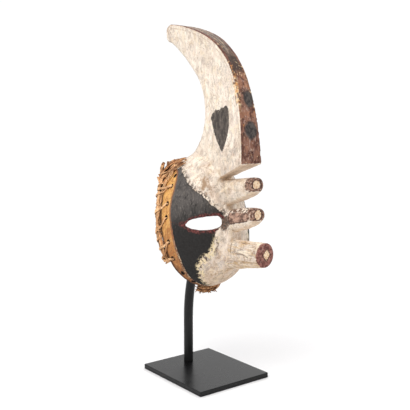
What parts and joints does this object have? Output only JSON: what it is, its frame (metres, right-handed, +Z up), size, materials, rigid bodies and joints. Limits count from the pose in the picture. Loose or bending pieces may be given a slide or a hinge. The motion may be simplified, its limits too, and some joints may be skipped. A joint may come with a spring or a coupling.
{
  "type": "afikpo mask",
  "caption": "Carved wooden face mask with a tall crescent crest, eye slots and projecting pegs, a raffia rope laced round its rim, standing on a bent steel rod and foot plate.",
  "frame": {"origin": "middle of the foot plate's underside", "axes": "+Z up, the face and the pegs look along -Y, the mask's own left cheek, nearer the picture's camera, is on -X"},
  "size_m": [0.1626, 0.2509, 0.58],
  "materials": {
    "painted_wood": "chalky white, black and dark red paint over bare ochre wood, scuffed and chipped",
    "raffia": "dry twisted raffia fibre, dull",
    "raffia_cord": "dry twisted raffia strand, dull",
    "rod_steel": "satin blackened steel",
    "plate_steel": "satin blackened steel, slightly rubbed"
  },
  "bodies": {
    "root": {"mask": "painted_wood", "rim_rope": "raffia", "lacing_cord": "raffia_cord", "support_rod": "rod_steel", "foot_plate": "plate_steel"}
  },
  "joints": []
}
